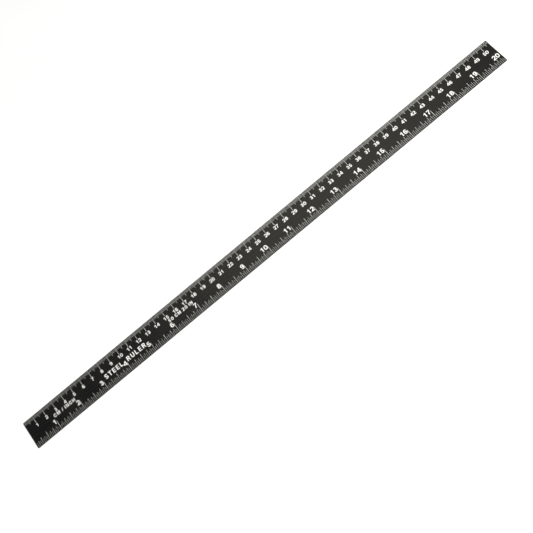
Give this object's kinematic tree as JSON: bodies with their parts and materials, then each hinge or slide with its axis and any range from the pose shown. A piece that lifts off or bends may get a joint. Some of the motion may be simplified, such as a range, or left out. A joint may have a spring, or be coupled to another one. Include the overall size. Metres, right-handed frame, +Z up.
{
  "type": "steel ruler",
  "caption": "Flat black-finished steel ruler with a white metric scale along one long edge and a white inch scale along the other, for measuring and for drawing or cutting along.",
  "frame": {"origin": "middle of the ruler's length and width, on its underside", "axes": "+X along the length, with both scales starting at the -X end; +Y across the width towards the metric edge; +Z up through the thickness, out of the face with the marks"},
  "size_m": [0.508, 0.0286, 0.0012],
  "materials": {
    "black_steel": "satin black oxide finish on steel",
    "white_enamel": "satin white enamel print"
  },
  "bodies": {
    "root": {"blade_name_legend": "white_enamel", "centimetre_lines": "white_enamel", "centimetre_numbers_11_to_20": "white_enamel", "centimetre_numbers_1_to_10": "white_enamel", "centimetre_numbers_21_to_30": "white_enamel", "centimetre_numbers_31_to_40": "white_enamel", "centimetre_numbers_41_to_50": "white_enamel", "eighth_inch_lines": "white_enamel", "half_centimetre_lines": "white_enamel", "half_inch_lines": "white_enamel", "inch_numbers_11_to_15": "white_enamel", "inch_numbers_16_to_20": "white_enamel", "inch_numbers_1_to_5": "white_enamel", "inch_numbers_6_to_10": "white_enamel", "millimetre_lines": "white_enamel", "quarter_inch_lines": "white_enamel", "scale_lengths_legend": "white_enamel", "scale_units_legend": "white_enamel", "sixteenth_inch_lines": "white_enamel", "steel_blade": "black_steel", "whole_inch_lines": "white_enamel"}
  },
  "joints": []
}
